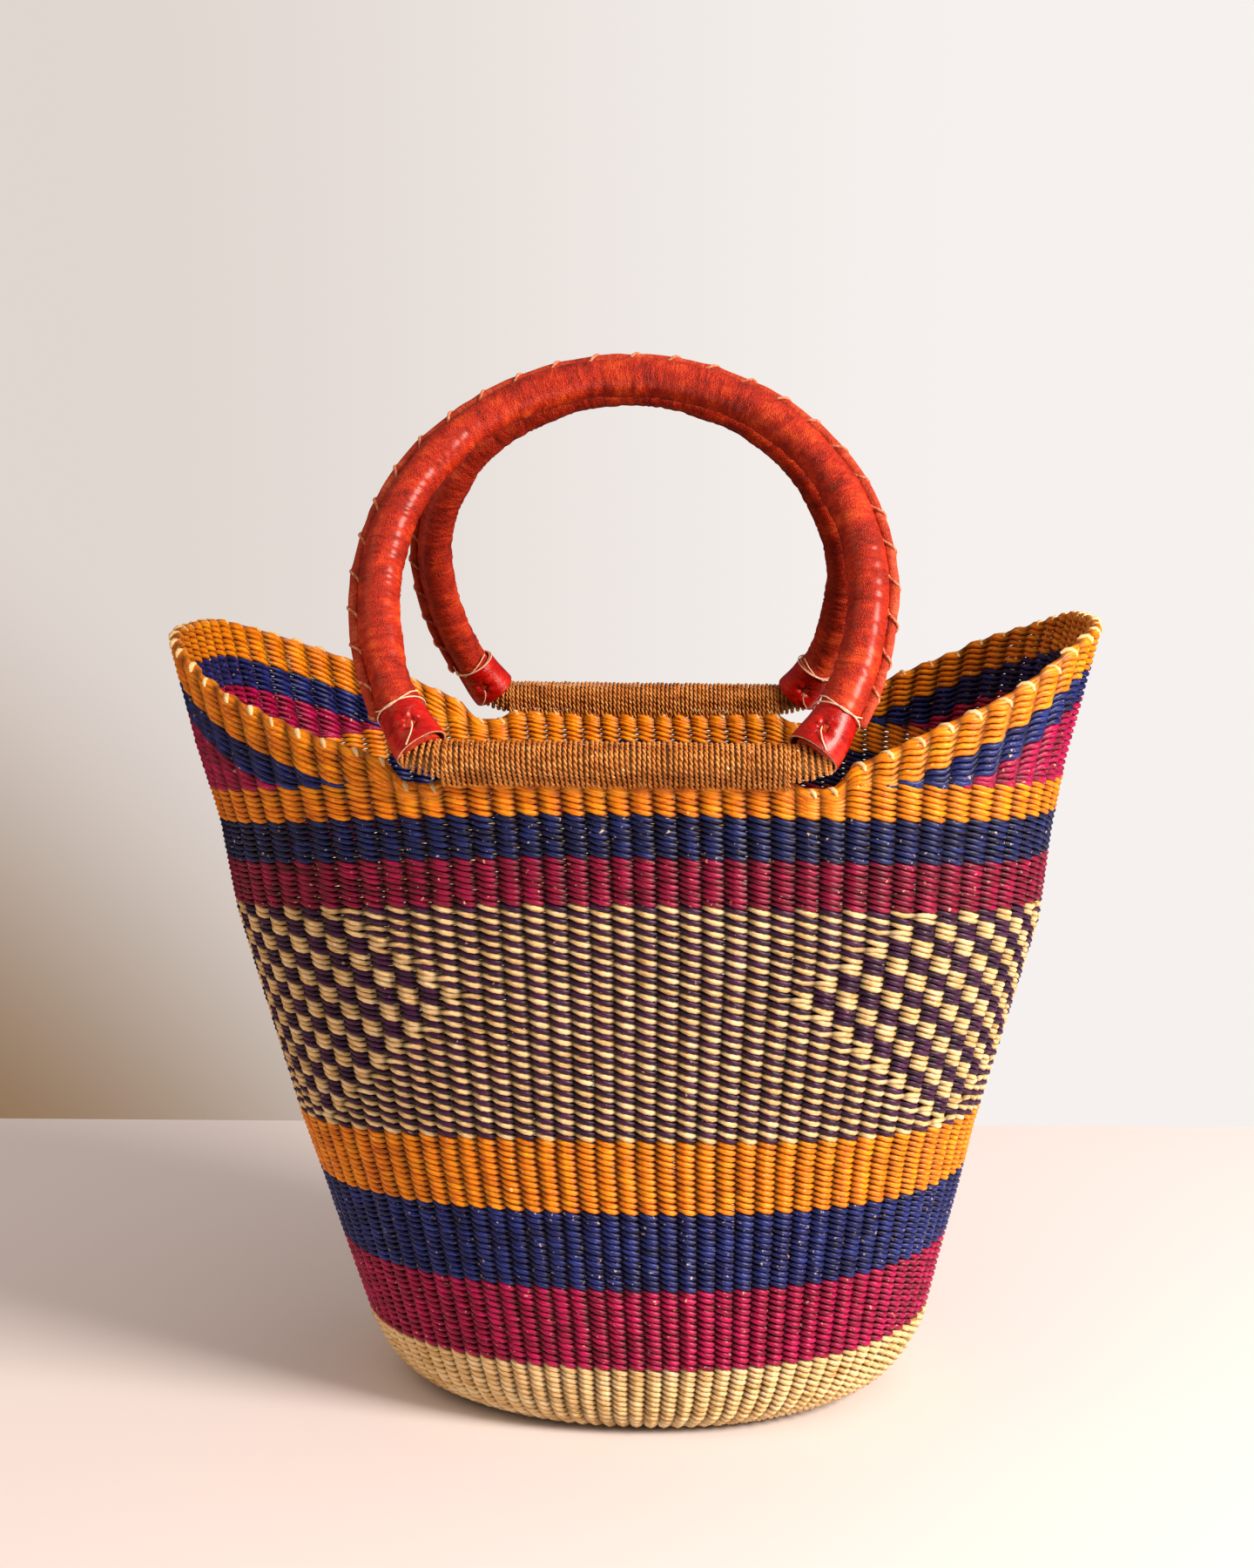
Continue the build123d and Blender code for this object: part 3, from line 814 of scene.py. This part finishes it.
def makeLeather(name, matrix, seed, sway):
    # Leather shrunk on a bundle: soft lumps, and creases across it that are deepest inside the bend
    lumps = smoothNoise(hoopRun, 17, seed)
    creases = smoothNoise(hoopRun, 2.8, seed + 1)
    depthOf = smoothNoise(hoopRun, 11, seed + 2)

    def wrinkle(place):
        along, out, side = place.T
        around = np.arctan2(side, out)
        skewed = np.clip(along + 2.5 * np.sin(around + along / 23), 0, hoopRun)
        inner = 0.95 - 0.45 * np.cos(around)
        fold = creases(skewed) * (0.45 + 0.55 * np.abs(depthOf(along)))
        swell = leatherLook["lump"] * lumps(np.clip(along + 3 * np.sin(around), 0, hoopRun))
        sink = leatherLook["crease"] * inner * np.abs(fold)
        grow = 1 - slimming(along) + (swell - sink) / hoopShape["tube"]
        return np.stack([along, out * grow, side * grow], 1)

    bm = spunTube((hoopShape["tube"],) * 2, 0, leatherLook["sides"], leatherLook["spacing"])
    closeTube(bm)
    piece = shapeTube(bm, f"{name}_leather_sleeve", hoopLeather, matrix, wrinkle, sway=sway)
    finishOnHandle(piece, name, "leather")
    bm = spunTube((hoopShape["core"],) * 2, 0, coreLook["sides"], coreLook["spacing"])
    closeTube(bm)
    piece = shapeTube(bm, f"{name}_hoop_core_bundle", caneMaterial, matrix, sway=sway)
    finishOnHandle(piece, name, "hoop_core")


weltLook = {"rise": 2.4, "width": 1.5, "inset": 0.8, "startShort": 21.0, "ripple": 0.16, "wander": 0.7,
            "thong": 0.72, "pitch": 17.0, "sides": 12, "spacing": 2.0}


def makeWelt(name, matrix, seed, sway):
    # The lips of the leather are pinched together along the outer side and whipped with a thong
    wander = smoothNoise(hoopRun, 26, seed + 5)
    ripple = smoothNoise(hoopRun, 6, seed + 6)
    centreOut = hoopShape["tube"] + weltLook["rise"] - weltLook["inset"]

    def waver(place):
        along, out, side = place.T
        grow = 1 + weltLook["ripple"] * ripple(along)
        out = centreOut + (out - centreOut) * grow - slimming(along) * hoopShape["tube"]
        return np.stack([along, out, side * grow + weltLook["wander"] * wander(along)], 1)

    short = weltLook["startShort"]
    bm = spunTube((weltLook["rise"], weltLook["width"]), centreOut, weltLook["sides"], weltLook["spacing"],
                  short, hoopRun - short)
    closeTube(bm)
    piece = shapeTube(bm, f"{name}_welt_seam", weltLeather, matrix, waver, sway=sway)
    finishOnHandle(piece, name, "welt")

    along = np.arange(short, hoopRun - short, 0.8)
    phase = 2 * math.pi * along / weltLook["pitch"]
    # the thong lies long over the seam and dives through it quickly
    phase = phase + 0.5 * np.sin(phase)
    out = centreOut + (weltLook["rise"] + 0.25) * np.cos(phase) - slimming(along) * hoopShape["tube"]
    side = (weltLook["width"] + 0.35) * np.sin(phase) + weltLook["wander"] * wander(along)
    line = standUp(matrix, np.stack([along, out, side], 1), sway)
    piece = tubeObject(f"{name}_lacing_thong", [line], thongMaterial, weltLook["thong"])
    finishOnHandle(piece, name, "lacing")


capLook = {
    "sides": 96, "spacing": 0.5, "edge": 1.1, "slack": 0.05, "flare": 1.5, "bulge": 0.03,
    "hole": 2.1, "holeAlong": 9.4, "holeRound": 1.66, "holeDepth": 4.4, "dimple": 1.2, "pucker": 0.55,
}
threadLook = {"radius": 0.33, "standOff": 0.35}


def fromHole(place):
    # How far along the cap and how far round it a point is from its hole
    along, out, sideways = place.T
    return along - capLook["holeAlong"], (np.arctan2(sideways, out) - capLook["holeRound"]) * hoopShape["cap"]


def holeShade(place):
    # painted shade for a cap's hole: 1 in it, fading out round it
    return np.exp(-(np.hypot(*fromHole(place)) / (1.15 * capLook["hole"])) ** 4)


def makeCaps(name, matrix, seed):
    # Smooth leather cups sewn over both ends, each with a puckered hole where the thread goes in
    threads = []
    for hand, flip in (("right", False), ("left", True)):
        bulge = smoothNoise(60, 9, seed + 20 + flip)

        def dent(place):
            along, out, sideways = place.T
            grow = 1 + capLook["bulge"] * bulge(along)
            grow = grow + 0.012 * np.sin(3 * np.arctan2(sideways, out) + along / 6)
            # flares at the bar, draws in at the top
            grow = grow - 0.04 * easeStep(along, 17, 21)
            grow = grow + capLook["flare"] / hoopShape["cap"] * (1 - easeStep(along, 0, 20))
            up, aside = fromHole(place)
            off = np.hypot(up, aside)
            pit = capLook["holeDepth"] * np.exp(-(off / capLook["hole"]) ** 2)
            dimple = capLook["dimple"] * np.exp(-(off / 5.5) ** 2)
            pucker = capLook["pucker"] * np.exp(-((off - 3) / 2.5) ** 2)
            pucker = pucker * np.cos(5 * np.arctan2(up, aside) + 1)
            grow = grow - (pit + dimple + pucker) / hoopShape["cap"]
            return np.stack([along, out * grow, sideways * grow], 1)

        bm = spunTube((hoopShape["cap"] - capLook["slack"],) * 2, 0, capLook["sides"], capLook["spacing"],
                      0, hoopShape["capLength"])
        bmesh.ops.recalc_face_normals(bm, faces=bm.faces)
        spin = matrix @ Matrix.Scale(-1, 4, (1, 0, 0)) if flip else matrix
        piece = shapeTube(bm, f"{name}_{hand}_cap_cup", capLeather, spin, dent, holeShade)
        if flip:
            piece.data.flip_normals()
        piece.data.materials.append(edgeMaterial)
        shell = piece.modifiers.new("thickness", "SOLIDIFY")
        shell.thickness = capLook["edge"] * mm
        shell.offset = -1
        shell.material_offset_rim = 1
        finishOnHandle(piece, name, f"{hand}_cap")
        reach = hoopShape["cap"] + threadLook["standOff"]
        # (along, degrees round): once round the top of the cap, a cross, and down to the hole
        for points in (
            [(20.3 + 0.9 * math.sin(math.radians(a)), a) for a in range(0, 361, 12)],
            [(26, -20), (24, 10), (21.2, 40), (20.4, 70), (21.8, 100), (24, 130), (25.5, 160)],
            [(8.6, 96), (6.4, 93), (3.6, 82), (0.6, 62)],
        ):
            along, around = np.array(points, float).T
            around = np.radians(around)
            r = reach + capLook["flare"] * (1 - easeStep(along, 0, 20)) - 0.6 * easeStep(along, 20.5, 25)
            threads.append(standUp(spin, np.stack([along, r * np.cos(around), r * np.sin(around)], 1)))
    piece = tubeObject(f"{name}_cap_ties_thread", threads, threadMaterial, threadLook["radius"])
    finishOnHandle(piece, name, "cap_ties")


lashLook = {
    "pitch": 2.2, "coil": 7.75, "ply": 0.62, "layLength": 5.2, "perTurn": 54, "half": 75.1,
    "reachDown": 4.6, "reachRound": math.radians(30),       # the stitch into the wall
    "endFrom": 77.2, "endTo": 93.0, "endTaper": 4.2,        # the turns beyond it, out to the caps
    "slack": 0.35, "stray": 0.55,
    "flat": 0.8,            # turns at each end that lie square
}


def twineCoil(centre, start, stop, side, reachDown, taper, seed):
    # Two plies twisted together and wound round the bar; reachDown sews the turns into the wall
    look = lashLook
    turns = max(1, round(abs(stop - start) / look["pitch"]))
    steps = turns * look["perTurn"]
    turn = np.linspace(0, turns, steps)
    slack = smoothNoise(turns * 7 + 4, 5, seed)
    stray = smoothNoise(turns * 4 + 4, 9, seed + 1)
    angle = 2 * math.pi * turn
    toWall = math.radians(-72) if side < 0 else math.radians(-108)
    near = np.angle(np.exp(1j * (angle - toWall)))
    radius = look["coil"] + look["slack"] * slack(turn * 7)
    radius = radius + reachDown * np.exp(-(near / look["reachRound"]) ** 2)
    # the last turns draw in on the shaved end of the stick
    radius = radius - taper * easeStep(turn / turns, 0.15, 1.0)
    # the first and last turns lie flat, so that both ends close square
    x = start + (stop - start) * np.clip((turn - look["flat"]) / (turns - 2 * look["flat"]), 0, 1)
    x = x + look["stray"] * stray(turn * 4) * np.cos(angle + 0.7)
    along = np.cumsum(np.full(steps, 2 * math.pi * look["coil"] / look["perTurn"]))
    twist = 2 * math.pi * along / look["layLength"]
    paths, paintedShade = [], []
    lay = look["ply"] * 0.8     # the plies press into each other
    for phase in (0, math.pi):
        # painted shade: each ply is painted darker where it turns in under the other and lighter where it
        # lies outside
        paintedShade.append(0.35 + 0.65 * easeStep(np.cos(twist + phase), -0.9, 0.9))
        r = radius + lay * np.cos(twist + phase)
        shift = lay * np.sin(twist + phase)
        points = np.stack([x + shift, centre[1] + r * np.cos(angle), centre[2] + r * np.sin(angle)], 1)
        paths.append(points * mm)
    return paths, paintedShade


def makeLashing(name, side, seed):
    centre = barAxis(name)
    look = lashLook
    coil, shades = twineCoil(centre, -look["half"], look["half"], side, look["reachDown"], 0.0, seed + 30)
    piece = tubeObject(f"{name}_lashing_twine", coil, twineMaterial, look["ply"], sides=0, paintedShade=shades)
    finishPiece(piece, "basket", f"{name}_lashing")
    ends, shades = [], []
    for sign in (-1, 1):
        more, shade = twineCoil(centre, sign * look["endFrom"], sign * look["endTo"], side, 0.0,
                                look["endTaper"], seed + 40 + sign)
        ends += more
        shades += shade
    piece = tubeObject(f"{name}_end_turns_twine", ends, twineMaterial, look["ply"], sides=0, paintedShade=shades)
    finishOnHandle(piece, name, "end_turns")


barLook = {"half": 93.5, "tip": 2.2, "shoulder": 78, "radius": 6.3, "sides": 24}


def makeBar(name):
    # A peeled stick, shaved down at both ends where the caps hold it
    centre = barAxis(name)
    b = barLook
    rightHalf = [(b["shoulder"], b["radius"]), (b["half"], b["tip"]), (b["half"], 0.0)]
    profile = [(-x, r) for x, r in rightHalf[::-1]] + rightHalf
    bm = bmesh.new()
    verts = [bm.verts.new(Vector((x, centre[1] + r, centre[2])) * mm) for x, r in profile]
    edges = [bm.edges.new(pair) for pair in zip(verts, verts[1:])]
    bmesh.ops.spin(bm, geom=verts + edges, cent=Vector((0, centre[1], centre[2])) * mm, axis=(1, 0, 0),
                   angle=2 * math.pi, steps=b["sides"], use_merge=True, use_duplicate=False)
    bmesh.ops.remove_doubles(bm, verts=bm.verts, dist=1e-6)
    bmesh.ops.recalc_face_normals(bm, faces=bm.faces)
    piece = placeObject(f"{name}_bar_stick", meshFrom(bm, f"{name}_bar_stick", stickMaterial))
    finishOnHandle(piece, name, "bar")


for name, side, seed in (("front", -1, 3), ("rear", 1, 103)):
    matrix = handleMatrix(name, side)
    makeLeather(name, matrix, seed, hoopShape["sway"][name])
    makeWelt(name, matrix, seed, hoopShape["sway"][name])
    makeCaps(name, matrix, seed)
    makeLashing(name, side, seed)
    makeBar(name)
print("handles made")

# floor and light
stageLook = {"floorColour": "E2DCDC", "wallLeft": "E0D6D0", "wallRight": "F6F1EE", "wallShade": "8F7050",
             "floorBack": 0.42, "floorHalf": (4.0, 2.5), "airLow": 0.16, "airHigh": 0.85}


def makeStage():
    bm = bmesh.new()
    bmesh.ops.create_grid(bm, x_segments=1, y_segments=1, size=1.0)
    halfWidth, halfDepth = stageLook["floorHalf"]
    bmesh.ops.scale(bm, vec=(halfWidth, halfDepth, 1.0), verts=bm.verts)
    bmesh.ops.translate(bm, vec=(0, stageLook["floorBack"] - halfDepth, 0), verts=bm.verts)
    turn = Matrix.Rotation(cameraPlace["heading"], 3, "Z")
    bmesh.ops.rotate(bm, verts=bm.verts, cent=(0, 0, 0), matrix=turn)
    material, tree, shader = newMaterial("mattFloorPaint", 0.75, specular=0.2)
    shader.inputs["Base Color"].default_value = linear(stageLook["floorColour"])
    placeObject("studioFloor", meshFrom(bm, "studioFloor", material))


def addLight(name, place, aim, size, power, colour):
    data = bpy.data.lights.new(name, "AREA")
    data.size = size
    data.energy = power
    data.color = linear(colour)[:3]
    light = placeObject(name, data)
    light.location = place
    light.rotation_euler = (Vector(aim) - Vector(place)).to_track_quat("-Z", "Y").to_euler()


def paintAir():
    # A pale wall, brighter to the right, with the soft dark of a shadow low on the left
    world = bpy.data.worlds.new("studioAir")
    bpy.context.scene.world = world
    world.use_nodes = True
    tree = world.node_tree
    tree.nodes.clear()
    coords = addNode(tree, "ShaderNodeTexCoord")
    split = addNode(tree, "ShaderNodeSeparateXYZ", {}, {"Vector": coords.outputs["Generated"]})
    sideways = addNode(tree, "ShaderNodeMapRange",
                       {"From Min": -0.3, "From Max": 0.12, "interpolation_type": "SMOOTHSTEP"},
                       {"Value": split.outputs["X"]})
    wall = addNode(tree, "ShaderNodeMix", {"data_type": "RGBA", "A": linear(stageLook["wallLeft"]),
                   "B": linear(stageLook["wallRight"])}, {"Factor": sideways.outputs["Result"]})
    low = addNode(tree, "ShaderNodeMath", {"operation": "MULTIPLY_ADD", 1: 0.9},
                  {0: split.outputs["X"], 2: split.outputs["Z"]})
    shade = addNode(tree, "ShaderNodeMapRange",
                    {"From Min": -0.3, "From Max": -0.6, "interpolation_type": "SMOOTHSTEP"},
                    {"Value": low.outputs["Value"]})
    # only on the wall behind
    behind = addNode(tree, "ShaderNodeMapRange", {"From Min": 0.75, "From Max": 0.9},
                     {"Value": split.outputs["Y"], "To Max": shade.outputs["Result"]})
    colour = addNode(tree, "ShaderNodeMix", {"data_type": "RGBA", "B": linear(stageLook["wallShade"])},
                     {"Factor": behind.outputs["Result"], "A": wall.outputs["Result"]})
    seen = addNode(tree, "ShaderNodeLightPath")
    # the air lights from above more than from the sides, and is seen at its own brightness
    above = addNode(tree, "ShaderNodeMapRange",
                    {"To Min": stageLook["airLow"], "To Max": stageLook["airHigh"]},
                    {"Value": split.outputs["Z"]})
    # little of it shows as a reflection, so polished leather keeps its depth of colour
    mirrored = addNode(tree, "ShaderNodeMapRange", {"To Min": 1.0, "To Max": 0.3},
                       {"Value": seen.outputs["Is Glossy Ray"]})
    lit = addNode(tree, "ShaderNodeMath", {"operation": "MULTIPLY"},
                  {0: above.outputs["Result"], 1: mirrored.outputs["Result"]})
    strength = addNode(tree, "ShaderNodeMapRange", {"To Max": 1.0},
                       {"Value": seen.outputs["Is Camera Ray"], "To Min": lit.outputs["Value"]})
    air = addNode(tree, "ShaderNodeBackground", {},
                  {"Color": colour.outputs["Result"], "Strength": strength.outputs["Result"]})
    addNode(tree, "ShaderNodeOutputWorld", {}, {"Surface": air.outputs["Background"]})


makeStage()
paintAir()
addLight("keyLight", (1.62, -0.9, 1.2), (0, 0, 0.22), 0.75, 78, "FFF0E4")
addLight("warmFill", (-1.5, -0.5, 1.6), (-0.6, 0.1, 0), 1.2, 8, "FFC890")
bpy.context.scene.view_settings.view_transform = "Standard"
